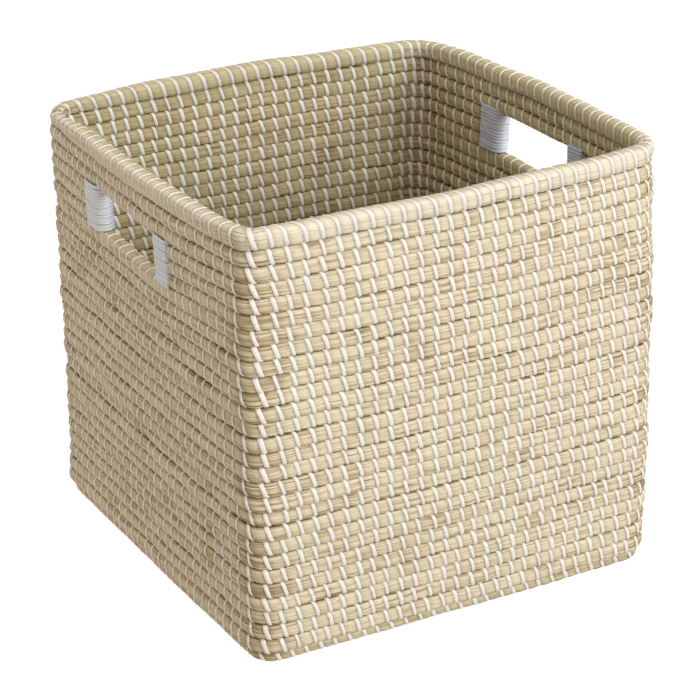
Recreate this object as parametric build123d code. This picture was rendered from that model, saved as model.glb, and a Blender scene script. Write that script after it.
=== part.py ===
from build123d import *
import math
import os

# Seagrass storage basket: one long coil of seagrass, laid flat in loops for the base and
# stacked in rows for the four walls, sewn together with white cord. Two hand holes are left
# in the left (-X) and right (+X) walls, and the coil ends beside them are bound with cord.
# The walls bow outward, more and more towards the rim.
# Millimetres. The origin is the middle of the underside, +Z is up, the front is -Y.

# Driving dimensions
ROW_DIA = 9.9             # seagrass coil of the base and the walls
RIM_DIA = 12.0            # thicker coil that finishes the top edge
RIM_INSET = 1.0           # its middle lies this far inside the middle of the wall
THREAD_T = 0.8            # thickness of the sewing cord
THREAD_W = 2.8            # width of the sewing cord
THREAD_PLAY = 0.15        # between the cord and the coil it holds
OUTER_X = 333.0           # left to right between the wall corners, over the stitches
OUTER_Y = 332.0           # front to back
BOW_LOW = 1.0             # the middle of each wall stands this much further out at the floor
BOW_HIGH = 9.5            # and this much at the rim
CORNER_R = 19.0           # wall corners, along the middle of the coil
WALL_ROWS = 27
BASE_ROWS = 14
BASE_CORNER_R = 15.0      # corners of the outermost base row
TIGHTEST_R = 6.5          # sharpest corner that the coil can turn flat
BASE_TUCK = 4.0           # the base sits this far inside the walls
BASE_FLAT = 0.4           # depth worn flat on the underside of the base
STITCHES_A_ROW = 112      # once round the walls
STITCH_SHIFT = 1.7        # either way on alternate rows, so that the cords lie side by side
HOLE_ROWS = (23, 24, 25)  # wall rows, counted from the bottom, that a hand hole interrupts
HOLE_WIDTH = 92.0         # clear width between the bindings
HOLE_BACK = 5.5           # the middle of each hand hole lies this far behind the wall's middle
BIND_WIDTH = 24.0         # along the wall
BIND_TURNS = 13

# Worked out from them
ROW_R = ROW_DIA / 2
RIM_R = RIM_DIA / 2
STITCH_STAND = THREAD_PLAY + THREAD_T
ROW_PITCH = ROW_DIA + THREAD_PLAY + STITCH_STAND
WALL_X = OUTER_X / 2 - ROW_R - STITCH_STAND
WALL_Y = OUTER_Y / 2 - ROW_R - STITCH_STAND
BASE_Z = ROW_R - BASE_FLAT
FIRST_ROW_Z = BASE_Z + math.sqrt(ROW_PITCH**2 - BASE_TUCK**2)
RIM_Z = FIRST_ROW_Z + (WALL_ROWS - 1) * ROW_PITCH + ROW_R + THREAD_PLAY + STITCH_STAND + RIM_R
HOLE_LOW_Z = FIRST_ROW_Z + (HOLE_ROWS[0] - 2) * ROW_PITCH + ROW_R + STITCH_STAND
HOLE_HIGH_Z = FIRST_ROW_Z + HOLE_ROWS[-1] * ROW_PITCH - ROW_R - STITCH_STAND
BIND_PITCH = (HOLE_HIGH_Z - HOLE_LOW_Z) / BIND_TURNS
BIND_CORD = BIND_PITCH - THREAD_PLAY
ROW_END_Y = HOLE_WIDTH / 2 + BIND_CORD + THREAD_PLAY + ROW_R
BIND_END_Y = HOLE_WIDTH / 2 + BIND_WIDTH
UP = Vector(0, 0, 1)


def row_z(row):
    """Height of the middle of a wall row, counted from 1 at the bottom."""
    return FIRST_ROW_Z + (row - 1) * ROW_PITCH


def bow(z):
    """How far the middle of each wall stands out at this height."""
    return BOW_LOW + (BOW_HIGH - BOW_LOW) * z / RIM_Z


def wall_x(y, z):
    """Middle of the left and right walls, out from the centre."""
    reach = bow(z)
    bend_r = (WALL_Y**2 + reach**2) / (2 * reach)
    return WALL_X + reach - bend_r + math.sqrt(bend_r**2 - y**2)


def loop(half_x, half_y, corner, z):
    """A closed rectangle with round corners, level at z."""
    return (Pos(0, 0, z) * RectangleRounded(2 * half_x, 2 * half_y, corner)).wires()[0]


def bowed_loop(half_x, half_y, corner, z):
    """A closed rectangle with round corners and sides that bow outward, level at z."""
    points = [(-half_x, -half_y), (half_x, -half_y), (half_x, half_y), (-half_x, half_y)]
    out_x = half_x + bow(z)
    out_y = half_y + bow(z)
    crowns = [(0, -out_y), (out_x, 0), (0, out_y), (-out_x, 0)]
    sides = [ThreePointArc(points[k], crowns[k], points[(k + 1) % 4]) for k in range(4)]
    outline = make_face(sides)
    outline = fillet(outline.vertices(), corner)
    return (Pos(0, 0, z) * outline).wires()[0]


def coil(path, radius):
    """A round coil of seagrass along a path."""
    section = Plane(origin=path @ 0, z_dir=path % 0) * Circle(radius)
    return sweep(section, path=path)


def wall_path(row):
    """The middle of a wall row."""
    return bowed_loop(WALL_X, WALL_Y, CORNER_R, row_z(row))


def cut_row(row, side):
    """The front (side -1) or back (side 1) half of a row that the hand holes interrupt."""
    middle = HOLE_BACK + side * (ROW_END_Y + OUTER_Y / 2)
    keep = Pos(0, middle, row_z(row)) * Box(2 * OUTER_X, OUTER_Y, 2 * ROW_DIA)
    return coil(wall_path(row), ROW_R) & keep


def base_outline(turn):
    """What loop() needs for the middle of a base row, counted from 0 at the outside."""
    inset = BASE_TUCK + turn * ROW_PITCH
    corner = max(BASE_CORNER_R - turn * ROW_PITCH, TIGHTEST_R)
    return WALL_X - inset, WALL_Y - inset, corner, BASE_Z


def flatten(shape):
    """Wear the underside flat at the level of the floor."""
    return shape & Pos(0, 0, OUTER_X / 2) * Box(2 * OUTER_X, 2 * OUTER_X, OUTER_X)


def base_start():
    """The thin beginning of the coil, folded tight in the middle of the base."""
    inset = BASE_TUCK + (BASE_ROWS - 1) * ROW_PITCH + ROW_R + STITCH_STAND
    room_x = WALL_X - inset
    room_y = WALL_Y - inset
    strand_r = room_y / 2 - THREAD_PLAY
    bend_r = strand_r + THREAD_PLAY
    tail = room_x - strand_r
    bend_x = room_x - bend_r - strand_r
    fold = Line((-tail, bend_r, 0), (bend_x, bend_r, 0))
    fold += ThreePointArc((bend_x, bend_r, 0), (bend_x + bend_r, 0, 0), (bend_x, -bend_r, 0))
    fold += Line((bend_x, -bend_r, 0), (-tail, -bend_r, 0))
    strand = coil(fold.wire(), strand_r)
    for side in (-1, 1):
        strand += Pos(-tail, side * bend_r, 0) * Sphere(strand_r)
    return flatten(Pos(0, 0, strand_r - BASE_FLAT) * strand)


def stitch(radius):
    """One turn of sewing cord round a coil of this radius, about its own Z axis."""
    inner = radius + THREAD_PLAY
    return Cylinder(inner + THREAD_T, THREAD_W) - Cylinder(inner, THREAD_W)


def base_stitch():
    """A stitch of the base: it sinks into the worn underside, so it is open there."""
    keep = Box(2 * ROW_DIA, 2 * ROW_DIA, ROW_DIA)
    return stitch(ROW_R) & Pos(ROW_DIA - BASE_Z + THREAD_T, 0, 0) * keep


def places_along(path, shift):
    """Where evenly spaced stitches cross a wall row or the rim."""
    places = []
    for step in range(STITCHES_A_ROW):
        share = (step + 0.5) / STITCHES_A_ROW + shift / path.length
        places.append((path @ share, path % share))
    return places


def base_places(half_x, half_y, corner, z, shift):
    """Where stitches cross the straight sides of a base row, each in line with a stitch of
    the wall above."""
    places = []
    for where, along in places_along(wall_path(1), 0):
        if wall_of(where) in ("front", "back"):
            along = Vector(math.copysign(1, along.X), 0, 0)
            point = Vector(where.X, math.copysign(half_y, where.Y), z) + along * shift
            straight = abs(point.X) + THREAD_W / 2 < half_x - corner
        else:
            along = Vector(0, math.copysign(1, along.Y), 0)
            point = Vector(math.copysign(half_x, where.X), where.Y, z) + along * shift
            straight = abs(point.Y) + THREAD_W / 2 < half_y - corner
        if straight:
            places.append((point, along))
    return places


def sew(shape, places):
    """Copies of a stitch, each with its place."""
    return [(where, Plane(origin=where, x_dir=UP, z_dir=along) * shape) for where, along in places]


def wall_of(where):
    """The wall that a point lies on."""
    if abs(where.X) / WALL_X > abs(where.Y) / WALL_Y:
        return "left" if where.X < 0 else "right"
    return "front" if where.Y < 0 else "back"


def at_hand_hole(row, where):
    """True where a hand hole or its bindings take the place of the stitches."""
    return row in HOLE_ROWS and abs(where.Y - HOLE_BACK) < BIND_END_Y + THREAD_W


def wall_stitches():
    """Every stitch of the walls, sorted by the wall that it is on."""
    walls = {"front": [], "back": [], "left": [], "right": []}
    turn = stitch(ROW_R)
    for row in range(1, WALL_ROWS + 1):
        shift = STITCH_SHIFT if row % 2 else -STITCH_SHIFT
        for where, piece in sew(turn, places_along(wall_path(row), shift)):
            if not at_hand_hole(row, where):
                walls[wall_of(where)].append(piece)
    return walls


def base_stitches():
    """Stitches on the straight parts of the base rows; the bends are too tight for them."""
    turn = base_stitch()
    pieces = []
    for row in range(BASE_ROWS):
        shift = STITCH_SHIFT if row % 2 else -STITCH_SHIFT
        pieces += [piece for _, piece in sew(turn, base_places(*base_outline(row), shift))]
    return pieces


def binding_turn():
    """One turn of white cord round a cut coil end, which points along -Y from the origin."""
    bend_r = ROW_R + THREAD_PLAY + BIND_CORD / 2
    length = BIND_END_Y - ROW_END_Y
    turn = Line((-bend_r, length, 0), (-bend_r, 0, 0))
    turn += ThreePointArc((-bend_r, 0, 0), (0, -bend_r, 0), (bend_r, 0, 0))
    turn += Line((bend_r, 0, 0), (bend_r, length, 0))
    return coil(turn.wire(), BIND_CORD / 2)


def binding(side_x, side_y):
    """All the turns at one edge of a hand hole, in line with the bowed wall."""
    turn = binding_turn()
    if side_y < 0:
        turn = mirror(turn, about=Plane.XZ)
    turns = []
    for index in range(BIND_TURNS):
        z = HOLE_LOW_Z + (index + 0.5) * BIND_PITCH
        start_y = HOLE_BACK + side_y * ROW_END_Y
        start_x = wall_x(start_y, z)
        drop = start_x - wall_x(HOLE_BACK + side_y * BIND_END_Y, z)
        lean = math.degrees(math.atan2(drop, BIND_END_Y - ROW_END_Y))
        place = Pos(side_x * start_x, start_y, z) * Rot(0, 0, side_x * side_y * lean)
        turns.append(place * turn)
    return turns


def save(name, pieces):
    """Write one node, of one solid or of a group of separate solids."""
    solids = [solid for piece in pieces for solid in piece.solids()]
    shape = solids[0] if len(solids) == 1 else Compound(children=solids)
    export_step(shape, f"parts/{name}.step")


def save_base():
    save("base_start", [base_start()])
    for turn in range(BASE_ROWS):
        number = BASE_ROWS - turn
        save(f"base_row_{number:02d}", [flatten(coil(loop(*base_outline(turn)), ROW_R))])
    save("stitching_base", base_stitches())


def save_walls():
    for row in range(1, WALL_ROWS + 1):
        if row in HOLE_ROWS:
            save(f"wall_row_{row:02d}_front", [cut_row(row, -1)])
            save(f"wall_row_{row:02d}_back", [cut_row(row, 1)])
        else:
            save(f"wall_row_{row:02d}", [coil(wall_path(row), ROW_R)])
    for wall, pieces in wall_stitches().items():
        save(f"stitching_{wall}", pieces)


def save_rim():
    path = bowed_loop(WALL_X - RIM_INSET, WALL_Y - RIM_INSET, CORNER_R - RIM_INSET, RIM_Z)
    places = places_along(path, -STITCH_SHIFT)
    save("rim_coil", [coil(path, RIM_R)])
    save("stitching_rim", [piece for _, piece in sew(stitch(RIM_R), places)])


def save_bindings():
    for wall, side_x in (("left", -1), ("right", 1)):
        for edge, side_y in (("front", -1), ("back", 1)):
            save(f"hole_binding_{wall}_{edge}", binding(side_x, side_y))


os.makedirs("parts", exist_ok=True)
save_base()
save_walls()
save_rim()
save_bindings()
print(f"height {RIM_Z + RIM_R + STITCH_STAND:.1f}, row pitch {ROW_PITCH:.1f}")
print(f"hand hole {HOLE_WIDTH:.0f} x {HOLE_HIGH_Z - HOLE_LOW_Z:.1f} from z {HOLE_LOW_Z:.1f}")
print(f"wall middle x {WALL_X:.2f}, y {WALL_Y:.2f}, first row z {FIRST_ROW_Z:.2f}")
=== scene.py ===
import math
import bpy
import numpy as np
from mathutils import Matrix, Vector


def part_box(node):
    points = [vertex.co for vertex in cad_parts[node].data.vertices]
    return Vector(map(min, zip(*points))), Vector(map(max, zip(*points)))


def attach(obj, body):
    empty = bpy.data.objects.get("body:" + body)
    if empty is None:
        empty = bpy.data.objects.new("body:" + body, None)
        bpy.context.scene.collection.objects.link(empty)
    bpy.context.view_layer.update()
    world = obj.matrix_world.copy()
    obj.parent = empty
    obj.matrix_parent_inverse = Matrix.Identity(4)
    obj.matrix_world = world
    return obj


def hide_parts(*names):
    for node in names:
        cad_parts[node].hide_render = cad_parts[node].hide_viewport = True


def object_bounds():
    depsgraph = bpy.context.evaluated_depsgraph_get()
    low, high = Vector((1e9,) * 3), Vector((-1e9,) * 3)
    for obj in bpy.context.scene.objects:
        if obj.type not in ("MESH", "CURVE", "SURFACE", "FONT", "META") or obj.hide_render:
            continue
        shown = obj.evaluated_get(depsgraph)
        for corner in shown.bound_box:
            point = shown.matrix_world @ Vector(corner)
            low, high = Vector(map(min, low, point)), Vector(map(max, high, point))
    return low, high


# Looks of the seagrass storage basket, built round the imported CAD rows. Metres, +Z up, the
# front wall is -Y. Every coil row becomes a bundle of fibres, and every stitch is part of one
# cord that winds round its row from end to end. The tubes are built straight and level, and
# settle() then gives the whole basket its bow, its lean and its unevenness.
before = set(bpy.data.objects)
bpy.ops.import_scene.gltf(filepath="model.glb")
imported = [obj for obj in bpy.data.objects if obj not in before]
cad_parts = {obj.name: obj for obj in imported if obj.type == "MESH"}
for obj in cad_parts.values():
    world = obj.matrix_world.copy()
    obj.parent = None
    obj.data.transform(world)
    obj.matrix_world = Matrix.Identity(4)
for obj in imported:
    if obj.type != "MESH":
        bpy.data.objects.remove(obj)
cad_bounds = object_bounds()

MM = 0.001
TAU = 2 * math.pi
SEED = 7

# ---------------------------------------------------------------- sizes, read from the CAD frame


def node_box(name):
    low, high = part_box(name)
    return np.array(low), np.array(high)


def row_numbers():
    names = [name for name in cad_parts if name.startswith("wall_row_")]
    return sorted({int(name.split("_")[2]) for name in names})


def row_nodes(row):
    return [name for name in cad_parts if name.startswith(f"wall_row_{row:02d}")]


ROWS = row_numbers()
CUT_ROWS = [row for row in ROWS if len(row_nodes(row)) == 2]
FIRST_LOW, FIRST_HIGH = node_box(row_nodes(ROWS[0])[0])
SECOND_LOW = node_box(row_nodes(ROWS[1])[0])[0]
RIM_LOW, RIM_HIGH = node_box("rim_coil")
BIND_LOW, BIND_HIGH = node_box("hole_binding_right_back")
HOLE_BACK = (BIND_LOW[1] + node_box("hole_binding_right_front")[1][1]) / 2
HEIGHT = cad_bounds[1].z
ROW_R = (FIRST_HIGH[2] - FIRST_LOW[2]) / 2
RIM_R = (RIM_HIGH[2] - RIM_LOW[2]) / 2
PITCH = SECOND_LOW[2] - FIRST_LOW[2]
FIRST_Z = FIRST_LOW[2] + ROW_R
RIM_Z = RIM_LOW[2] + RIM_R
CORNER = 19 * MM
BOW_LOW = 1.0 * MM        # the walls bow out by this much at the floor
BOW_HIGH = 9.5 * MM       # and this much at the rim
FIRST_BOW = BOW_LOW + (BOW_HIGH - BOW_LOW) * FIRST_Z / RIM_Z
WALL_X = FIRST_HIGH[0] - ROW_R - FIRST_BOW  # middle of the wall at a corner, before it bows
WALL_Y = FIRST_HIGH[1] - ROW_R - FIRST_BOW
RIM_INSET = WALL_X + BOW_HIGH + RIM_R - RIM_HIGH[0]
HOLE_HALF = BIND_LOW[1] - HOLE_BACK
BIND_END = BIND_HIGH[1] - HOLE_BACK
BIND_Z = (BIND_LOW[2] + BIND_HIGH[2]) / 2
BASE_NAMES = sorted(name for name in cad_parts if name.startswith("base_row_"))
BASE_BOXES = [node_box(name) for name in BASE_NAMES]
START_LOW, START_HIGH = node_box("base_start")

# Bundle and cord shapes. A share is a part of the way round a section, from the outward side
# over the top.
TOP = 0.25
ROW_U = 5.15 * MM         # half thickness of a wall row, through the wall
ROW_W = 5.65 * MM         # half height of a wall row, pressed into its neighbours
RIM_U = 6.6 * MM
RIM_W = 6.5 * MM
RIM_TAPER = 0.36          # the rim thins by this part where it begins, at the back left corner
TAPER_AHEAD = 60 * MM     # the rim is full this far after its beginning
TAPER_BEHIND = 110 * MM   # and begins to thin this far before its end
BASE_U = 5.8 * MM         # half width of a base row
BASE_W = 4.7 * MM
SQUARENESS = 4.2          # 2 is an ellipse, more is boxier
SIDE_SQUARENESS = 2.4     # the rows of the left and right walls are rounder
SIDE_FULLER = 0.5 * MM    # and thicker by this much
RIM_SQUARENESS = 3.3
CORD_W = 1.5 * MM         # half width of the sewing cord
CORD_T = 0.55 * MM        # half thickness
CORD_OUT = 0.05 * MM      # the middle of the cord lies this far outside the bundle
BARE_CORD_OUT = -0.15 * MM  # and this far on the rim and on the row below the hand holes
CORD_WOBBLE = 0.012       # how far the cord leaves an even helix, in stitch lengths
CORD_UNEVEN = 0.08        # how much the width of one stitch differs, as a part of it
SIDE_THINNER = 0.22       # the cord is narrower by this part on the left and right walls
STITCH = 11.4 * MM        # from one stitch to the next, on the outside
ROW_STEP = 2.1 * MM       # mesh length along a row
ROW_SIDES = 32
OUTLINE_STEPS = 360       # steps in which a section is worked out
CORD_SIDES = 8
CORD_STEPS = 18           # mesh steps in one turn of cord
PROBE = 1.2 * MM          # a point this far above the surface tells which way is out

# The surface of a bundle
BULGE = 0.95 * MM         # it swells by this much between two stitches
PINCH = 0.58 * MM         # and the stitch pulls it in by this much
STEM = 0.09 * MM          # height of the single stems
CORNER_STEM = 0.16 * MM   # how much higher they stand at the corners
SWELL = 0.02              # slow changes of the thickness, as a part of it
OUT_WANDER, UP_WANDER = 0.3 * MM, 0.16 * MM  # how far a row strays sideways and upward
BASE_WANDER = 0.1 * MM    # and a base row sideways
BEND_REACH = 0.8          # how far a corner shows along the row, in corner radii
INNER_FILL = 0.15         # how much of a corner's filling the inward side gets
END_DEPTH = 2.2 * MM      # a cut end is rounded by this much
END_LENGTH = 1.6 * MM     # over about this length

# Brown places, and painted shade in the grooves, beside the stitches and where two rows touch
CORNER_BROWN = 4.0        # how much browner the bent stems are
CELL_TONE = 0.35          # how much one cell between two stitches differs from the next
GROOVE_POWER = 28         # how narrow the painted shade in the groove between two rows is, more is narrower
FACE_POWER, SIDE_POWER = 19, 9  # the same where it shows: on the front, and on sides and inside
CREASE = 0.45 * MM        # width of the painted shade where two rows touch
CORD_SHADE = 0.62         # how dark the painted shade on the grass is under the edge of a stitch
CORD_SHADE_WIDTH = 2.0 * MM
FLOOR_CREASE, FLOOR_CREASE_WIDTH = 0.17, 0.035  # place and width of the painted shade on the last base row under the wall, in shares


def row_z(row):
    return FIRST_Z + (row - 1) * PITCH


# ---------------------------------------------------------------- paths and noise


class Loop:
    """The middle of a row: a level rectangle with round corners, followed anticlockwise from
    the back end of the left wall."""

    def __init__(self, half_x, half_y, corner, z):
        self.half = np.array([half_x, half_y])
        self.corner = corner
        self.z = z
        quarter = corner * TAU / 4
        straight_x, straight_y = 2 * (self.half - corner)
        self.runs = np.array([straight_y, quarter, straight_x, quarter] * 2)
        self.ends = np.cumsum(self.runs)
        self.length = self.ends[-1]

    def at(self, s):
        """Points in plan, and the outward direction there."""
        s = np.mod(s, self.length)
        leg = np.minimum(np.searchsorted(self.ends, s, side="right"), 7)
        side, bent = leg // 2, leg % 2
        along = s - (self.ends - self.runs)[leg]
        heading = (side - 1) * TAU / 4 + np.where(bent, along / self.corner, 0)
        forward = np.stack([np.cos(heading), np.sin(heading)], -1)
        outward = np.stack([forward[..., 1], -forward[..., 0]], -1)
        pivot = (side + np.where(bent, 0, 3)) % 4
        signs = np.array([[-1, -1], [1, -1], [1, 1], [-1, 1]])[pivot]
        point = signs * (self.half - self.corner) + self.corner * outward
        point = point + forward * np.where(bent, 0, along)[..., None]
        return point, outward

    def bend(self, s):
        """How far into a corner: 1 at the middle of each round corner, 0 on the straights."""
        s = np.mod(s, self.length)
        nearest = np.stack([np.abs((s - end + run / 2 + self.length / 2) % self.length
                                   - self.length / 2)
                            for end, run in zip(self.ends[1::2], self.runs[1::2])]).min(0)
        return np.exp(-((nearest / (BEND_REACH * self.corner)) ** 2))

    def spread(self, count, proud):
        """Places along the loop that lie evenly on a line this far outside it."""
        s = np.linspace(0, self.length, 4001)
        bent = np.searchsorted(self.ends, s, side="right") % 2
        step = 1 + proud / self.corner * bent
        outer = np.concatenate([[0], np.cumsum((step[1:] + step[:-1]) / 2)])
        return np.interp((np.arange(count) + 0.5) / count, outer / outer[-1], s)

    def middle_of(self, side):
        """Distance along the loop to the middle of a side: 0 left, 1 front, 2 right, 3 back."""
        return self.ends[2 * side] - self.runs[2 * side] / 2


def waves(rng, low, high, count=6):
    """A smooth random curve over one lap, the same at both ends, about 1 either way."""
    turns = rng.integers(low, high + 1, count)
    phases = rng.uniform(0, TAU, count)
    return lambda lap: np.sin(TAU * turns * lap[..., None] + phases).sum(-1) / math.sqrt(count / 2)


# How far each upright corner leaves the true shape at the rim: front left, front right, back
# right and back left.
CORNER_LIFT = (-0.5 * MM, 3.6 * MM, -2.4 * MM, -5.2 * MM)
CORNER_FLARE = (0.5 * MM, -6.4 * MM, -0.3 * MM, 3.5 * MM)
LEAN = 10.0 * MM          # the front left corner leans this far to the left at the rim
LEAN_POWER = 1.8          # how closely the lean keeps to that corner
FOLD = (2.6, 5.6)         # how sharply the front left corner is folded, at the floor and the rim
DROOP = 3.2 * MM          # the left wall hangs this much at the front end of its hand hole
DROOP_REACH = (55 * MM, 45 * MM)  # how far along the wall, and how far up
FLOOR_GAP = 0.1 * MM      # nothing comes nearer to the floor
FREE_HEIGHT = 0.15        # the unevenness grows to its full size over this part of the height
SAG = 0.7 * MM            # the middle rows sit this much low
UNEVEN = ((0.7 * MM, 3.0), (0.4 * MM, 8.0), (0.22 * MM, 17.0))  # size, and waves a height


def settle(points):
    """Bows the walls out, moves and folds the corners, lets the left wall droop at its hand
    hole, and adds the unevenness of handwork. The floor level stays where it is."""
    rng = np.random.default_rng(SEED)
    rise = np.clip(points[..., 2] / RIM_Z, 0, 1.1)
    across = np.clip(points[..., 0] / WALL_X, -1, 1)
    deep = np.clip(points[..., 1] / WALL_Y, -1, 1)
    shares = [(1 - across) * (1 - deep) / 4, (1 + across) * (1 - deep) / 4,
              (1 + across) * (1 + deep) / 4, (1 - across) * (1 + deep) / 4]
    lift = sum(share * amount for share, amount in zip(shares, CORNER_LIFT))
    flare = rise**2 * sum(share * amount for share, amount in zip(shares, CORNER_FLARE))
    bow = BOW_LOW + (BOW_HIGH - BOW_LOW) * rise
    moved = points.copy()
    into_x = np.clip(CORNER - WALL_X - points[..., 0], 0, None) / CORNER
    into_y = np.clip(CORNER - WALL_Y - points[..., 1], 0, None) / CORNER
    power = FOLD[0] + (FOLD[1] - FOLD[0]) * rise
    plain = np.sqrt(into_x**2 + into_y**2)
    boxy = (into_x**power + into_y**power) ** (1 / power)
    sharpen = plain / np.maximum(boxy, 1e-6) - 1
    sharpen = np.where(plain > 0, np.maximum(sharpen, 0), 0) * CORNER
    moved[..., 0] -= sharpen * into_x
    moved[..., 1] -= sharpen * into_y
    moved[..., 0] += across * ((1 - deep**2) * bow + flare) - LEAN * rise * shares[0] ** LEAN_POWER
    moved[..., 1] += deep * ((1 - across**2) * bow + flare)
    moved[..., 2] += rise**2 * lift - SAG * np.sin(math.pi * np.minimum(rise, 1))
    from_hole = np.hypot((points[..., 1] - HOLE_BACK + HOLE_HALF) / DROOP_REACH[0],
                         (points[..., 2] - BIND_Z) / DROOP_REACH[1])
    moved[..., 2] -= DROOP * np.exp(-(from_hole**2)) * np.clip(-across, 0, 1)
    free = np.clip(points[..., 2] / (FREE_HEIGHT * HEIGHT), 0, 1)
    for amount, rate in UNEVEN:
        for axis in range(3):
            angle = points / HEIGHT @ rng.normal(0, rate, 3) + rng.uniform(0, TAU)
            moved[..., axis] += free * amount * np.sin(angle)
    moved[..., 2] = np.maximum(moved[..., 2], FLOOR_GAP)
    return moved


# ---------------------------------------------------------------- meshes


class Piece:
    """Tubes gathered into one mesh, with UVs in metres along and round each tube."""

    def __init__(self):
        self.points, self.corners, self.sizes, self.uvs = [], [], [], []
        self.shades, self.count = {"groove": [], "tone": [], "inner": []}, 0

    def tube(self, grid, along, around, shades, closed):
        """grid is steps by sides by 3. A closed tube joins its last step to its first."""
        steps, sides = grid.shape[:2]
        self.points.append(grid.reshape(-1, 3))
        for name, gathered in self.shades.items():
            gathered.append(np.broadcast_to(shades.get(name, 0.0), (steps, sides)).ravel())
        i = np.arange(steps if closed else steps - 1)[:, None]
        j = np.arange(sides)[None, :]
        i_next, j_next = (i + 1) % steps, (j + 1) % sides
        quads = np.stack(np.broadcast_arrays(
            i * sides + j, i_next * sides + j, i_next * sides + j_next, i * sides + j_next), -1)
        along_u = np.append(along, 2 * along[-1] - along[-2])
        around_v = np.append(around, 2 * around[-1] - around[-2])
        uv = np.stack([
            np.stack(np.broadcast_arrays(along_u[i], around_v[j]), -1),
            np.stack(np.broadcast_arrays(along_u[i + 1], around_v[j]), -1),
            np.stack(np.broadcast_arrays(along_u[i + 1], around_v[j + 1]), -1),
            np.stack(np.broadcast_arrays(along_u[i], around_v[j + 1]), -1)], -2)
        self.corners.append(quads.reshape(-1) + self.count)
        self.sizes.append(np.full(quads.shape[0] * quads.shape[1], 4))
        self.uvs.append(uv.reshape(-1, 2))
        if not closed:
            for step, order in ((0, 1), (steps - 1, -1)):
                ring = (step * sides + np.arange(sides))[::order]
                self.corners.append(ring + self.count)
                self.sizes.append(np.array([sides]))
                self.uvs.append(np.stack([np.full(sides, along[step]), around[::order]], -1))
        self.count += steps * sides

    def make(self, name, material, slot, replaced):
        points = settle(np.concatenate(self.points))
        corners, sizes = np.concatenate(self.corners), np.concatenate(self.sizes)
        mesh = bpy.data.meshes.new(name)
        mesh.vertices.add(len(points))
        mesh.vertices.foreach_set("co", points.astype(np.float32).ravel())
        mesh.loops.add(len(corners))
        mesh.loops.foreach_set("vertex_index", corners.astype(np.int32))
        mesh.polygons.add(len(sizes))
        starts = np.concatenate([[0], np.cumsum(sizes)[:-1]])
        mesh.polygons.foreach_set("loop_start", starts.astype(np.int32))
        mesh.polygons.foreach_set("use_smooth", np.ones(len(sizes), bool))
        uv_layer = mesh.uv_layers.new(name="run")
        uv_layer.data.foreach_set("uv", np.concatenate(self.uvs).astype(np.float32).ravel())
        for shade, values in self.shades.items():
            attribute = mesh.attributes.new(shade, "FLOAT", "POINT")
            attribute.data.foreach_set("value", np.concatenate(values).astype(np.float32))
        mesh.update(calc_edges=True)
        mesh.materials.append(material)
        piece = bpy.data.objects.new(name, mesh)
        bpy.context.scene.collection.objects.link(piece)
        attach(piece, "root")
        if replaced:
            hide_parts(*replaced)
        return piece


# ---------------------------------------------------------------- one row and its cord


def outline(half_u, half_w, squareness):
    """Once round a boxy section in even steps of length, from the outward side over the top:
    the share of the way round, out, up, and the two parts of the direction it faces."""
    angle = np.linspace(0, TAU, 4 * OUTLINE_STEPS + 1)
    power = 2 / squareness
    out = half_u * np.sign(np.cos(angle)) * np.abs(np.cos(angle)) ** power
    up = half_w * np.sign(np.sin(angle)) * np.abs(np.sin(angle)) ** power
    way = np.concatenate([[0], np.cumsum(np.hypot(np.diff(out), np.diff(up)))])
    share = np.linspace(0, 1, OUTLINE_STEPS + 1)
    out, up = np.interp(share * way[-1], way, out), np.interp(share * way[-1], way, up)
    face_out, face_up = np.gradient(up), -np.gradient(out)
    size = np.hypot(face_out, face_up)
    return share, out, up, face_out / size, face_up / size, way[-1]


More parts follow.
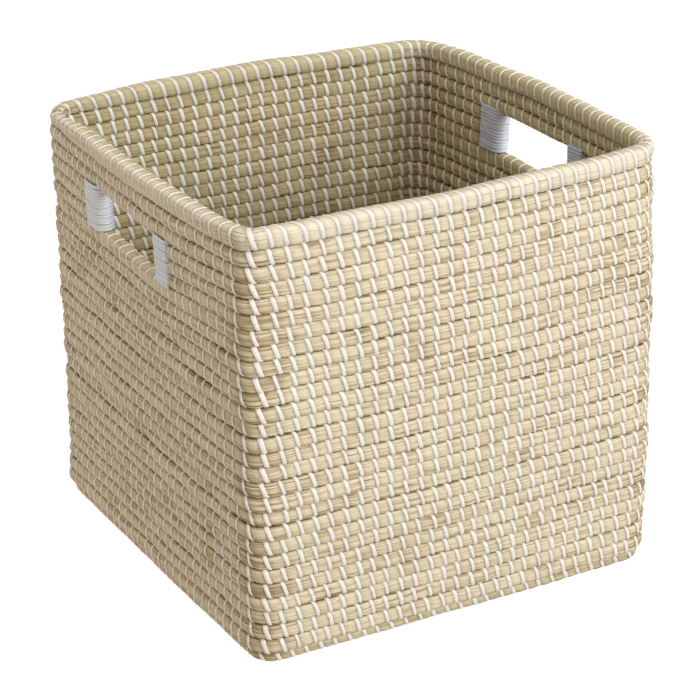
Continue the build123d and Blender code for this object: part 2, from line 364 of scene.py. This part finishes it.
class Row:
    """A fibre bundle along a loop, and the cord that is sewn round it. A flat row is part of
    the base. A bare row has no neighbour above (1) or below (-1)."""

    def __init__(self, loop, half_u, half_w, seed, drift=0.0, squareness=SQUARENESS, flat=False,
                 bare=0, fill=0.0, taper=0.0):
        rng = np.random.default_rng([SEED, seed])
        self.bare, self.fill, self.taper = bare, fill, taper
        self.loop, self.half_u, self.half_w, self.flat = loop, half_u, half_w, flat
        self.outline, self.seed = outline(half_u, half_w, squareness), seed
        self.side_outline = self.outline
        if squareness > SIDE_SQUARENESS and not flat and bare != 1:
            self.side_outline = outline(half_u + SIDE_FULLER, half_w, SIDE_SQUARENESS)
        self.shift_u, self.shift_w = waves(rng, 4, 26), waves(rng, 4, 26)
        self.swell = waves(rng, 10, 60)
        self.tone = waves(rng, 5, 40, 8)
        self.level = rng.normal(0, 0.8)
        self.proud = 0.0 if flat else rng.normal(0, 0.3) * MM
        self.wander = BASE_WANDER if flat else OUT_WANDER
        self.cord_out = BARE_CORD_OUT if bare == 1 and not flat else CORD_OUT
        self.contact = max(PITCH / 2, loop.z - row_z(ROWS[-1]) - PITCH / 2)
        self.count = max(4, round((loop.length + TAU * half_u) / STITCH))
        pitch = loop.length / self.count
        self.centres = loop.spread(self.count, half_u) + drift * pitch
        self.centres += rng.normal(0, 0.05, self.count) * pitch
        self.cell_tone = rng.normal(0, 1, self.count)
        self.pitch = pitch
        self.ridges = [(k, rng.integers(-9, 10), rng.uniform(0, TAU), rng.uniform(0.3, 1))
                       for k in (5, 8, 10, 13, 15)]
        self.offset = np.array([seed * 3.7, seed * 0.31])

    def size(self, s):
        """How thick the row is, as a part of its full size. A tapered row is thinnest where
        its loop begins and ends."""
        s = np.mod(s, self.loop.length)
        ahead = np.clip(s / TAPER_AHEAD, 0, 1)
        behind = np.clip((self.loop.length - s) / TAPER_BEHIND, 0, 1)
        full = np.minimum(ahead, behind)
        return 1 - self.taper * (1 - full * full * (3 - 2 * full))

    def middle(self, s):
        lap = s / self.loop.length
        point, outward = self.loop.at(s)
        point = point + outward * (self.proud + self.wander * self.shift_u(lap))[..., None]
        drop = self.half_w * (1 - self.size(s))
        return point, outward, self.loop.z + UP_WANDER * self.shift_w(lap) - drop

    def wobble(self, turn):
        """How far the cord runs ahead of an even helix, in stitch lengths."""
        sign = -1 if self.flat else 1
        return sign * CORD_WOBBLE * np.sin(2 * TAU * turn)

    def cord_s(self, turns):
        """Distance along the row of the cord after so many turns from the top."""
        laps, index = np.divmod(turns - TOP, self.count)
        centres = np.append(self.centres, self.centres[0] + self.loop.length)
        along = np.interp(index, np.arange(self.count + 1), centres)
        return along + laps * self.loop.length + self.wobble(turns) * self.pitch

    def turns_between(self, start, end):
        """The turns of cord that cross the outward side from start to end."""
        centres = np.concatenate([self.centres, self.centres + self.loop.length])
        return np.searchsorted(centres, start), np.searchsorted(centres, end)

    def cord_number(self, s, share):
        """Counts turns of cord along the row: a whole number lies under the cord itself."""
        turn = np.mod(TOP - share, 1)
        along = s - self.wobble(turn) * self.pitch
        span = self.centres - self.centres[0]
        index = np.interp(np.mod(along - self.centres[0], self.loop.length),
                          np.append(span, self.loop.length), np.arange(self.count + 1))
        return index + TOP - turn

    def surface(self, s, share, extra=0.0):
        """The point a share of the way round the bundle, extra proud of its plain surface."""
        point, outward, z = self.middle(s)
        swell = 1 + SWELL * self.swell(s / self.loop.length)
        sideways = outward[..., 0] ** 2
        out, up, face_out, face_up = (
            (1 - sideways) * np.interp(share, self.outline[0], plain, period=1)
            + sideways * np.interp(share, self.side_outline[0], rounder, period=1)
            for plain, rounder in zip(self.outline[1:5], self.side_outline[1:5]))
        corner = self.loop.bend(s) * np.where(out > 0, self.fill, INNER_FILL * self.fill)
        size = self.size(s)
        out = out * (size * swell + corner / self.half_u) + extra * face_out
        up = size * up + extra * face_up
        return np.concatenate([point + outward * out[..., None], (z + up)[..., None]], -1)

    def hidden(self, share, power=GROOVE_POWER):
        """Painted shade: 1 in the groove between two rows, falling to 0 on the faces that show."""
        shares, out, up = self.outline[:3]
        inward = np.interp(share, shares, out / self.half_u if self.flat else up / self.half_w,
                           period=1)
        groove = np.where(inward * self.bare > 0, 0, np.abs(inward) ** power)
        # Painted shade on the last base row, where it runs under the wall.
        if self.flat and self.bare:
            below_wall = np.exp(-(((share - FLOOR_CREASE) / FLOOR_CREASE_WIDTH) ** 2))
            groove = np.maximum(groove, below_wall)
        return groove

    def bundle(self, piece, start=0.0, end=None):
        """Adds the fibre bundle, all round or from start to end along the loop."""
        closed = end is None
        span = self.loop.length if closed else end - start
        steps = round(span / ROW_STEP)
        s = start + span * np.arange(steps) / (steps if closed else steps - 1)
        share = np.arange(ROW_SIDES) / ROW_SIDES
        s_grid, share_grid = np.meshgrid(s, share, indexing="ij")
        number = self.cord_number(s_grid, share_grid)
        gap = (number - np.round(number)) * self.pitch
        extra = BULGE * np.abs(np.sin(math.pi * gap / self.pitch)) ** 0.8 - PINCH
        lap = s_grid / self.loop.length
        ridge = sum(size * np.sin(TAU * (k * share_grid + turns * lap) + phase)
                    for k, turns, phase, size in self.ridges)
        bend = self.loop.bend(s_grid)
        extra = extra + (STEM + CORNER_STEM * bend) * ridge
        if not closed:
            ends = np.minimum(s_grid - s[0], s[-1] - s_grid)
            extra = extra - END_DEPTH * np.exp(-ends / END_LENGTH)
        grid = self.surface(s_grid, share_grid, extra)
        cell = self.cell_tone[np.floor(number).astype(int) % self.count]
        tone = self.level + self.tone(lap) + CELL_TONE * cell - CORNER_BROWN * bend
        # The inward side of a row, which gets painted shade and a greener tint.
        inner = 0.5 if self.flat else np.clip(0.5 - 1.2 * np.cos(TAU * share_grid), 0, 1)
        sideways = self.loop.at(s_grid)[1][..., 0] ** 2
        around = share * self.outline[-1]
        # Painted shade in the grooves, narrower on the front than on the side walls and inside,
        # beside each stitch, and where two rows touch.
        power = FACE_POWER + (SIDE_POWER - FACE_POWER) * np.maximum(sideways, inner)
        cord_edge_shade = CORD_SHADE * np.exp(-((gap / CORD_SHADE_WIDTH) ** 2))
        groove = np.maximum(self.hidden(share_grid, power), cord_edge_shade)
        if not self.flat:
            up = grid[..., 2] - self.middle(s_grid)[2]
            to_contact = np.clip(self.contact - np.abs(up), 0, None)
            crease = np.exp(-((to_contact / CREASE) ** 2))
            groove = np.maximum(groove, np.where(up * self.bare > 0, 0, crease))
        shades = {"groove": groove, "tone": tone, "inner": inner}
        piece.tube(grid, s + self.offset[0], around + self.offset[1], shades, closed)

    def cord(self, piece, first=0, last=None):
        """Adds the sewing cord, all round or from one stitch to another."""
        closed = last is None
        turns_made = self.count if closed else last - first
        steps = turns_made * CORD_STEPS
        turns = first + turns_made * np.arange(steps) / (steps if closed else steps - 1)
        s = self.cord_s(turns)
        share = np.mod(TOP - turns, 1)
        line = self.surface(s, share, self.cord_out)
        lift = self.surface(s, share, PROBE) - line
        lift /= np.linalg.norm(lift, axis=-1, keepdims=True)
        if closed:
            run = np.roll(line, -1, 0) - np.roll(line, 1, 0)
        else:
            run = np.gradient(line, axis=0)
        run /= np.linalg.norm(run, axis=-1, keepdims=True)
        across = np.cross(run, lift)
        across /= np.linalg.norm(across, axis=-1, keepdims=True)
        lift = np.cross(across, run)
        rng = np.random.default_rng([SEED, self.seed, 1])
        width = np.repeat(rng.normal(1, CORD_UNEVEN, turns_made), CORD_STEPS)
        sideways = self.loop.at(s)[1][:, 0] ** 2
        width = (width * (1 - SIDE_THINNER * sideways))[:, None, None]
        around = TAU * np.arange(CORD_SIDES) / CORD_SIDES
        side = np.sign(np.cos(around)) * np.abs(np.cos(around)) ** 0.75
        grid = line[:, None] + across[:, None] * (CORD_W * side)[None, :, None] * width
        grid = grid + lift[:, None] * (CORD_T * np.sin(around))[None, :, None]
        step = np.linalg.norm(np.diff(line, axis=0), axis=-1)
        along = np.concatenate([[0], np.cumsum(step)])
        # Painted shade where the cord dives between the rows, and painted light, carried as its
        # tone, on the outward side of the left and right walls.
        side_wall_light = np.clip(2 * np.cos(TAU * share), 0, 1) * sideways
        shades = {"groove": self.hidden(share)[:, None], "tone": side_wall_light[:, None]}
        piece.tube(grid, along, around * MM, shades, closed)


# ---------------------------------------------------------------- materials


class Nodes:
    """Short names for the few shader nodes used here."""

    def __init__(self, name):
        self.material = bpy.data.materials.new(name)
        self.material.use_nodes = True
        self.tree = self.material.node_tree
        self.shader = self.tree.nodes["Principled BSDF"]

    def add(self, kind, **settings):
        node = self.tree.nodes.new(kind)
        for key, value in settings.items():
            setattr(node, key, value)
        return node

    def link(self, source, target):
        self.tree.links.new(source, target)

    def value(self, source, target):
        if hasattr(source, "is_output"):
            self.link(source, target)
        else:
            target.default_value = source

    def math(self, operation, a, b, clamp=False):
        node = self.add("ShaderNodeMath", operation=operation, use_clamp=clamp)
        self.value(a, node.inputs[0])
        self.value(b, node.inputs[1])
        return node.outputs[0]

    def shade(self, name):
        return self.add("ShaderNodeAttribute", attribute_name=name).outputs["Fac"]

    def streaks(self, per_metre_along, per_metre_round, detail, layer):
        """Noise drawn out along the run of the fibres, from 0 to 1. Each layer is another
        part of the noise."""
        uv = self.add("ShaderNodeUVMap", uv_map="run")
        mapping = self.add("ShaderNodeMapping")
        mapping.inputs["Scale"].default_value = (per_metre_along, per_metre_round, 1)
        mapping.inputs["Location"].default_value = (layer * 7.3, layer * 3.1, layer)
        self.link(uv.outputs[0], mapping.inputs[0])
        noise = self.add("ShaderNodeTexNoise")
        noise.inputs["Scale"].default_value = 1.0
        noise.inputs["Detail"].default_value = detail
        self.link(mapping.outputs[0], noise.inputs["Vector"])
        return noise.outputs["Fac"]

    def ramp(self, factor, *stops):
        node = self.add("ShaderNodeValToRGB")
        elements = node.color_ramp.elements
        while len(elements) < len(stops):
            elements.new(0.5)
        for element, (place, colour) in zip(elements, stops):
            element.position = place
            element.color = (*colour, 1)
        self.link(factor, node.inputs[0])
        return node.outputs[0]

    def mix(self, factor, a, b, blend="MIX"):
        node = self.add("ShaderNodeMix", data_type="RGBA", blend_type=blend)
        colours = [socket for socket in node.inputs if socket.type == "RGBA"]
        self.value(factor, node.inputs[0])
        for source, target in zip((a, b), colours):
            self.value((*source, 1) if isinstance(source, tuple) else source, target)
        return next(socket for socket in node.outputs if socket.type == "RGBA")

    def tinted(self, factor, colour, tint):
        """The colour times the tint, where the factor is 1."""
        return self.mix(factor, colour, self.mix(1.0, colour, tint, "MULTIPLY"))

    def bump(self, height, distance):
        node = self.add("ShaderNodeBump")
        node.inputs["Strength"].default_value = 1.0
        node.inputs["Distance"].default_value = distance
        self.link(height, node.inputs["Height"])
        self.link(node.outputs[0], self.shader.inputs["Normal"])


STEM_COLOURS = (          # place on the ramp, and colour, from brown over straw to green
    (0.22, (0.40, 0.28, 0.14)),
    (0.34, (0.58, 0.475, 0.30)),
    (0.43, (0.675, 0.58, 0.405)),
    (0.54, (0.74, 0.645, 0.47)),
    (0.62, (0.74, 0.595, 0.44)),
    (0.72, (0.65, 0.605, 0.41)),
)
FIBRE_LIGHTS = (          # fibre lines, from the gap between fibres to their tops: painted shade in the gaps, over streaks of the stems' own colour
    (0.70, (0.42, 0.34, 0.22)),
    (0.86, (0.86, 0.83, 0.76)),
    (1.0, (1.0, 1.0, 1.0)),
)
PALE_STEM = (0.77, 0.695, 0.55)
INNER_SHADE_AND_GREEN = (0.715, 0.685, 0.51)  # tint of the inward side: darker as painted shade, and greener
BROWN_LINE = (0.34, 0.22, 0.10)
SPECK = (0.16, 0.08, 0.03)
# Painted shade for the grooves between rows
GAP_SHADE = (0.09, 0.05, 0.02)
INNER_CORD_SHADE = (0.70, 0.72, 0.78)    # tints of the cord: painted shade on its inward side, and painted light on the left and right walls
SIDE_CORD_LIGHT = (1.15, 1.12, 1.06)
CORD_TINTS = ((0.42, (0.97, 1.0, 0.97)), (0.58, (1.0, 0.96, 0.99)))


def seagrass(name, pale=0.0):
    """Dry plant stems of cream, tan and green, drawn out into strands and fine fibre lines, with
    brown lines and specks. The tone of the mesh makes a place browner. Painted shade darkens the
    gaps between fibres, the grooves and the inward side, which is also greener."""
    n = Nodes(name)
    tone = n.shade("tone")
    place = n.math("ADD", n.streaks(30, 330, 1.0, 1), n.math("MULTIPLY", tone, 0.026))
    fibres = n.math("ADD", n.streaks(14, 650, 2.0, 2), n.streaks(36, 1500, 3.0, 3))
    colour = n.ramp(place, *STEM_COLOURS)
    colour = n.mix(1.0, colour, n.ramp(fibres, *FIBRE_LIGHTS), "MULTIPLY")
    colour = n.mix(pale, colour, PALE_STEM)
    # Painted shade on the inward side of each bundle, which is also greener.
    colour = n.tinted(n.shade("inner"), colour, INNER_SHADE_AND_GREEN)
    few = n.math("ADD", 0.36, n.math("MULTIPLY", tone, -0.014))
    line = n.math("SUBTRACT", few, n.streaks(9, 900, 1.0, 4))
    colour = n.mix(n.math("MULTIPLY", line, 11.0, True), colour, BROWN_LINE)
    speck = n.math("SUBTRACT", n.streaks(150, 1000, 2.0, 7), 0.70)
    colour = n.mix(n.math("MULTIPLY", speck, 9.0, True), colour, SPECK)
    # Painted shade in the grooves, broken up by noise.
    broken = n.math("ADD", n.streaks(160, 60, 2.0, 5), 0.35, True)
    colour = n.mix(n.math("MULTIPLY", n.shade("groove"), broken), colour, GAP_SHADE)
    n.link(colour, n.shader.inputs["Base Color"])
    n.shader.inputs["Roughness"].default_value = 0.55
    n.shader.inputs["Specular IOR Level"].default_value = 0.45
    n.bump(fibres, 0.5 * MM)
    return n.material


def white_cord(name, body, shaded):
    """White cord of fine filaments, with painted shade where it dives between the rows and on its
    inward side, and painted light on the left and right walls.
    """
    n = Nodes(name)
    fibre = n.streaks(260, 2600, 2.0, 4)
    colour = n.ramp(fibre, (0.30, tuple(0.88 * c for c in body)), (0.62, body))
    colour = n.mix(1.0, colour, n.ramp(n.streaks(14, 30, 0.0, 6), *CORD_TINTS), "MULTIPLY")
    # Painted shade where the cord dives between the rows and on its inward side, painted light on
    # the left and right walls.
    colour = n.mix(n.math("MULTIPLY", n.shade("groove"), 0.5), colour, shaded)
    colour = n.tinted(n.shade("inner"), colour, INNER_CORD_SHADE)
    colour = n.tinted(n.shade("tone"), colour, SIDE_CORD_LIGHT)
    n.link(colour, n.shader.inputs["Base Color"])
    n.shader.inputs["Roughness"].default_value = 0.6
    n.shader.inputs["Specular IOR Level"].default_value = 0.3
    n.bump(fibre, 0.12 * MM)
    return n.material


# ---------------------------------------------------------------- walls and rim

WALLS = ("front", "back", "left", "right")
COURSE = 3                # rows that share one piece
CUT_GAP = 1.5 * MM        # how far inside its binding a cut row ends
RIM_SEED, BASE_SEED, START_SEED = 60, 80, 79  # the wall rows use their own numbers


def drift(row):
    """How far the stitch columns wander sideways on the way up, in stitch lengths."""
    rng = np.random.default_rng([SEED, 99])
    wander = np.cumsum(rng.normal(0.02, 0.05, len(ROWS) + 2))
    return wander[row]


def wall_row(row):
    bare = {CUT_ROWS[0] - 1: 1, CUT_ROWS[-1] + 1: -1}.get(row, 0)
    loop = Loop(WALL_X, WALL_Y, CORNER, row_z(row))
    return Row(loop, ROW_U, ROW_W, row, drift(row), bare=bare)


def hole_spans(loop, margin):
    """From one hand hole to the other along the front, then along the back."""
    left, right = loop.middle_of(0) - HOLE_BACK, loop.middle_of(2) + HOLE_BACK
    clear = HOLE_HALF + margin
    return (left + clear, right - clear), (right + clear, left + loop.length - clear)


def build_course(rows, grass, cord):
    """A few neighbouring rows: one piece of bundles, one piece of cord."""
    bundles, cords, nodes = Piece(), Piece(), []
    for number in rows:
        row = wall_row(number)
        nodes += row_nodes(number)
        if number not in CUT_ROWS:
            row.bundle(bundles)
            row.cord(cords)
            continue
        for start, end in hole_spans(row.loop, CUT_GAP):
            row.bundle(bundles, start, end)
        for start, end in hole_spans(row.loop, BIND_END - HOLE_HALF + CORD_W):
            first, last = row.turns_between(start, end)
            row.cord(cords, first, last)
    label = f"{rows[0]:02d}_{rows[-1]:02d}"
    bundles.make(f"wall_rows_{label}", grass, "seagrass", nodes)
    stitching = [f"stitching_{wall}" for wall in WALLS] if rows[0] == ROWS[0] else []
    cords.make(f"wall_stitching_{label}", cord, "sewing_cord", stitching)


def rim_loop():
    return Loop(WALL_X - RIM_INSET, WALL_Y - RIM_INSET, CORNER - RIM_INSET, RIM_Z)


def build_rim(grass, cord):
    row = Row(rim_loop(), RIM_U, RIM_W, RIM_SEED, drift(len(ROWS) + 1), RIM_SQUARENESS, bare=1,
              taper=RIM_TAPER)
    bundles, cords = Piece(), Piece()
    row.bundle(bundles)
    row.cord(cords)
    bundles.make("rim_bundle", grass, "rim_seagrass", ["rim_coil"])
    cords.make("rim_stitching", cord, "sewing_cord", ["stitching_rim"])


# ---------------------------------------------------------------- base

BASE_CORNER, LAST_CORNER = 6.5 * MM, 15 * MM  # the outermost base row is rounder
CORNER_FILL = (4.4 * MM, 1.0 * MM, 0.2 * MM)  # most base rows, the last but one, the last
BASE_SQUARENESS, START_SQUARENESS = 2.6, 2.4
LAST_DRIFT = 0.45         # shifts the last row's stitches, in stitch lengths
INNER_ROWS = 9            # base rows in the first piece
BASE_ROWS = len(BASE_BOXES)


def build_base(grass, cord):
    """Flat rows from the folded start in the middle to the walls, in two parts."""
    build_base_rows("inner", range(INNER_ROWS), grass, cord)
    build_base_rows("outer", range(INNER_ROWS, BASE_ROWS), grass, cord)


def build_base_rows(label, rows, grass, cord):
    bundles, cords = Piece(), Piece()
    names = [BASE_NAMES[index] for index in rows]
    for index in rows:
        high = BASE_BOXES[index][1]
        half_x, half_y = high[0] - ROW_R, high[1] - ROW_R
        last = index == BASE_ROWS - 1
        loop = Loop(half_x, half_y, LAST_CORNER if last else BASE_CORNER, BASE_W)
        fill = CORNER_FILL[max(0, index + 3 - BASE_ROWS)]
        row = Row(loop, BASE_U, BASE_W, BASE_SEED + index, LAST_DRIFT * last, BASE_SQUARENESS,
                  True, bare=int(last), fill=fill)
        row.bundle(bundles)
        row.cord(cords)
    if rows[0] == 0:
        names.append("base_start")
        half_x = START_HIGH[0] - (START_HIGH[1] - START_LOW[1]) / 4
        half_y = (START_HIGH[1] - START_LOW[1]) / 4 + 0.5 * MM
        fold = Loop(half_x, half_y, 0.98 * half_y, BASE_W)
        start = Row(fold, half_y, BASE_W, START_SEED, 0.0, START_SQUARENESS, True)
        start.bundle(bundles)
    bundles.make(f"base_bundles_{label}", grass, "seagrass", names)
    stitching = ["stitching_base"] if rows[0] == 0 else []
    cords.make(f"base_stitching_{label}", cord, "sewing_cord", stitching)


# ---------------------------------------------------------------- bindings of the hand holes

BIND_TURNS = 14
BIND_STEPS = 72           # mesh steps in one turn
BIND_SIDES = 10
BIND_RISE = 2.5 * MM      # from one turn to the next
BIND_START = 0.9          # raises the whole winding, in turns
BIND_THICK = 0.85 * MM    # half thickness of the binding cord
BIND_HIGH_HALF = 0.52     # half height of the cord, as a part of the rise, so that turns touch
BIND_HALF = ROW_U + 1.15 * MM  # from the middle of the wall to the middle of the cord
BIND_KNOTS = 3            # random steps in one turn
BIND_SLIP = 0.22 * MM     # how unevenly the turns lie
BIND_STAND = 0.035        # how unevenly they stand out, as a part of the distance


def binding_line():
    """One cord wound round the wall beside a hand hole: how far out, how far along +Y from
    the middle of the hole, and how high. The far side of each turn runs through the wall."""
    near = HOLE_HALF + BIND_THICK + BIND_HALF
    far = BIND_END - 1.0 * MM
    straight, bend = far - near, math.pi * BIND_HALF
    lap = 2 * straight + bend + 2 * BIND_HALF
    turn = np.arange(BIND_TURNS * BIND_STEPS) / BIND_STEPS
    way = np.mod(turn, 1) * lap
    angle = np.clip((way - straight) / BIND_HALF, 0, math.pi)
    out = BIND_HALF * np.cos(angle)
    along = np.where(way < straight, far - way, near - BIND_HALF * np.sin(angle))
    along = along + np.clip(way - straight - bend, 0, straight)
    out = out + np.clip(way - 2 * straight - bend, 0, None)
    return out, along, (turn + BIND_START - BIND_TURNS / 2) * BIND_RISE


def build_binding(name, side_x, side_y, cord):
    out, along, height = binding_line()
    rng = np.random.default_rng([SEED, 200 + side_x + 3 * side_y])
    lap = np.arange(len(height)) / BIND_STEPS
    knots = np.arange(BIND_KNOTS * BIND_TURNS + 2) / BIND_KNOTS
    slip, stand = (np.interp(lap, knots, rng.normal(0, 1, len(knots))) for _ in range(2))
    height = height + BIND_SLIP * slip
    out = out * (1 + BIND_STAND * stand)
    line = np.stack([side_x * (WALL_X + out), HOLE_BACK + side_y * along, BIND_Z + height], -1)
    run = np.gradient(line, axis=0)
    run /= np.linalg.norm(run, axis=-1, keepdims=True)
    side = np.cross(run, [0, 0, 1.0])
    side /= np.linalg.norm(side, axis=-1, keepdims=True)
    up = np.cross(side, run)
    around = TAU * np.arange(BIND_SIDES) / BIND_SIDES
    half_height = BIND_HIGH_HALF * BIND_RISE * np.sign(np.sin(around))
    half_height = half_height * np.abs(np.sin(around)) ** 0.7
    half_thick = BIND_THICK * np.sign(np.cos(around)) * np.abs(np.cos(around)) ** 0.6
    grid = line[:, None] + side[:, None] * half_thick[None, :, None]
    grid = grid + up[:, None] * half_height[None, :, None]
    step = np.linalg.norm(np.diff(line, axis=0), axis=-1)
    piece = Piece()
    # Painted shade where the turns touch, and on the inward side of each turn.
    groove = np.broadcast_to(np.abs(np.sin(around)) ** 6 * 0.3, grid.shape[:2])
    inner = np.clip(-0.2 - 1.5 * out / BIND_HALF, 0, 1)[:, None]
    shades = {"groove": groove, "inner": inner}
    piece.tube(grid, np.concatenate([[0], np.cumsum(step)]), around * MM, shades, False)
    piece.make(name, cord, "binding_cord", [name.replace("bound_edge", "hole_binding")])


def build_bindings(cord):
    for wall, side_x in (("left", -1), ("right", 1)):
        for edge, side_y in (("front", -1), ("back", 1)):
            build_binding(f"bound_edge_{wall}_{edge}", side_x, side_y, cord)


# ---------------------------------------------------------------- loose fibres

STRAYS = 260              # loose fibre ends along the wall rows
FRAYED = 46               # stem ends where the rim begins
FIBRE_STEPS = 5


def fibre(piece, line, radius, sections, along, tone):
    """One thin fibre with a square section, in the two directions across it."""
    around = TAU * np.arange(4) / 4
    grid = line[:, None] + radius[:, None] * (
        np.cos(around)[None, :, None] * sections[0] + np.sin(around)[None, :, None] * sections[1])
    piece.tube(grid, along, around * MM, {"tone": tone}, False)


def stray_ends(piece, rng):
    """Fibre ends that stick out of the wall rows, mostly along them."""
    share = np.linspace(0, 1, FIBRE_STEPS)[:, None]
    for _ in range(STRAYS):
        row = rng.integers(ROWS[0], ROWS[-1] + 1)
        loop = Loop(WALL_X, WALL_Y, CORNER, row_z(row))
        s = rng.uniform(0, loop.length)
        point, outward = loop.at(s)
        if row in CUT_ROWS and abs(point[1] - HOLE_BACK) < BIND_END + 12 * MM:
            continue
        ahead = np.array([-outward[1], outward[0], 0])
        out = np.array([*outward, 0])
        way = rng.choice([-1, 1])
        size = rng.uniform(4, 12) * MM
        start = np.array([*point, loop.z + rng.uniform(-4.5, 4.5) * MM]) + out * (ROW_U - 0.4 * MM)
        line = start + ahead * (way * share * size) + out * (share * rng.uniform(0.6, 2.4) * MM)
        line[:, 2] += share[:, 0] ** 2 * rng.uniform(-0.35, 0.35) * size
        radius = rng.uniform(0.14, 0.26) * MM * (1 - 0.6 * share)
        fibre(piece, line, radius, (out, [0, 0, 1]), share[:, 0] * size + s, rng.normal(-3, 3))


def rim_beginning(piece, rng):
    """Short thick stem ends that lie on the thin beginning of the rim."""
    share = np.linspace(0, 1, FIBRE_STEPS)[:, None]
    rim = rim_loop()
    for _ in range(FRAYED):
        s = rim.length - rng.uniform(2, 40) * MM
        point, outward = rim.at(s)
        ahead = np.array([-outward[1], outward[0], 0]) * rng.choice([-1, 1], p=(0.7, 0.3))
        angle, size = rng.uniform(0.2, 1.1) * math.pi, rng.uniform(4, 10) * MM
        away = np.array([*outward * math.cos(angle), math.sin(angle)])
        start = np.array([*point, RIM_Z - RIM_TAPER * RIM_W]) + 4.0 * MM * away
        line = start + ahead * (share * size) + away * (share**2 * rng.uniform(0.5, 2.2) * MM)
        radius = rng.uniform(0.3, 0.6) * MM * (1 - 0.4 * share)
        sections = (away, np.cross(ahead, away))
        fibre(piece, line, radius, sections, share[:, 0] * size + s, rng.normal(-6, 4))


def build_strays(grass):
    """All the loose fibres, as one piece."""
    rng = np.random.default_rng([SEED, 300])
    piece = Piece()
    stray_ends(piece, rng)
    rim_beginning(piece, rng)
    piece.make("stray_fibres", grass, "seagrass", [])


# ---------------------------------------------------------------- the basket

grass = seagrass("seagrass")
cord = white_cord("sewing_cord", (0.82, 0.77, 0.725), (0.56, 0.44, 0.30))
for first in range(0, len(ROWS), COURSE):
    build_course(ROWS[first:first + COURSE], grass, cord)
build_rim(seagrass("rim_seagrass", 0.6),
          white_cord("rim_cord", (0.77, 0.72, 0.68), (0.60, 0.50, 0.38)))
build_base(grass, cord)
build_bindings(white_cord("binding_cord", (0.77, 0.80, 0.86), (0.42, 0.42, 0.44)))
build_strays(grass)


# ---------------------------------------------------------------- floor, light and camera

FLOOR_REACH = 6.0
LIGHT_AIM = (0, 0, 0.15)
BELOW_HORIZON = (0.62, 0.565, 0.48, 1)
ABOVE_HORIZON = (0.44, 0.42, 0.375, 1)
AZIMUTH, ELEVATION, ROLL = -30.23, 22.84, 0.37  # degrees
LENS, SENSOR = 121.67, 36                       # in mm, as Blender has them
SHIFT_Y = -0.0345
CAMERA_AWAY = 5.486       # in heights of the basket


def area_light(name, place, size, watts, colour):
    light = bpy.data.lights.new(name, "AREA")
    light.shape = "DISK"
    light.size = size
    light.energy = watts
    light.color = colour
    lamp = bpy.data.objects.new(name, light)
    bpy.context.scene.collection.objects.link(lamp)
    lamp.location = place
    lamp.rotation_mode = "QUATERNION"
    lamp.rotation_quaternion = (Vector(LIGHT_AIM) - Vector(place)).to_track_quat("-Z", "Y")


def build_studio():
    """A pale floor that reaches past the view, a dim surround and three soft lamps."""
    mesh = bpy.data.meshes.new("floor")
    corners = [(x, y, 0) for x, y in ((-1, -1), (1, -1), (1, 1), (-1, 1))]
    mesh.from_pydata([Vector(corner) * FLOOR_REACH for corner in corners], [], [(0, 1, 2, 3)])
    floor = bpy.data.objects.new("floor", mesh)
    bpy.context.scene.collection.objects.link(floor)
    n = Nodes("floor")
    n.shader.inputs["Base Color"].default_value = (0.3, 0.3, 0.3, 1)
    n.shader.inputs["Roughness"].default_value = 0.9
    n.shader.inputs["Specular IOR Level"].default_value = 0.0
    n.shader.inputs["Emission Color"].default_value = (1, 1, 1, 1)
    n.shader.inputs["Emission Strength"].default_value = 0.9
    mesh.materials.append(n.material)
    floor.visible_diffuse = False
    floor.visible_glossy = False
    floor.visible_shadow = False
    build_surround()
    area_light("key", (0.8, -2.45, 1.3), 1.4, 64, (0.90, 0.95, 1.0))
    area_light("side", (-2.2, 0.9, 0.7), 0.6, 7, (1.0, 0.96, 0.90))
    area_light("top", (0.1, -0.2, 2.4), 1.8, 20, (1.0, 0.98, 0.95))


def build_surround():
    """A warm, dim room that is brighter below, as over a white table."""
    world = bpy.data.worlds.new("studio")
    bpy.context.scene.world = world
    world.use_nodes = True
    nodes, links = world.node_tree.nodes, world.node_tree.links
    place = nodes.new("ShaderNodeTexCoord")
    split = nodes.new("ShaderNodeSeparateXYZ")
    ramp = nodes.new("ShaderNodeValToRGB")
    span = nodes.new("ShaderNodeMapRange")
    span.inputs["From Min"].default_value = -0.3
    span.inputs["From Max"].default_value = 0.3
    ramp.color_ramp.elements[0].color = BELOW_HORIZON
    ramp.color_ramp.elements[1].color = ABOVE_HORIZON
    links.new(place.outputs["Generated"], split.inputs[0])
    links.new(split.outputs["Z"], span.inputs["Value"])
    links.new(span.outputs[0], ramp.inputs[0])
    links.new(ramp.outputs[0], nodes["Background"].inputs[0])


def build_camera():
    """A long lens from the front left, looking down at the basket."""
    azimuth, elevation, roll = (math.radians(a) for a in (AZIMUTH, ELEVATION, ROLL))
    back = Vector((math.sin(azimuth) * math.cos(elevation),
                   -math.cos(azimuth) * math.cos(elevation), math.sin(elevation)))
    level = (-back).cross(Vector((0, 0, 1))).normalized()
    upright = level.cross(-back)
    right = level * math.cos(roll) + upright * math.sin(roll)
    up = upright * math.cos(roll) - level * math.sin(roll)
    camera = bpy.data.objects.new("camera", bpy.data.cameras.new("camera"))
    camera.data.sensor_width = SENSOR
    camera.data.lens = LENS
    camera.data.shift_y = SHIFT_Y
    bpy.context.scene.collection.objects.link(camera)
    turn = Matrix((right, up, back)).transposed().to_4x4()
    place = Vector((0, 0, HEIGHT / 2)) + back * CAMERA_AWAY * HEIGHT
    camera.matrix_world = Matrix.Translation(place) @ turn
    bpy.context.scene.camera = camera


build_studio()
build_camera()
bpy.context.scene.view_settings.view_transform = "Standard"
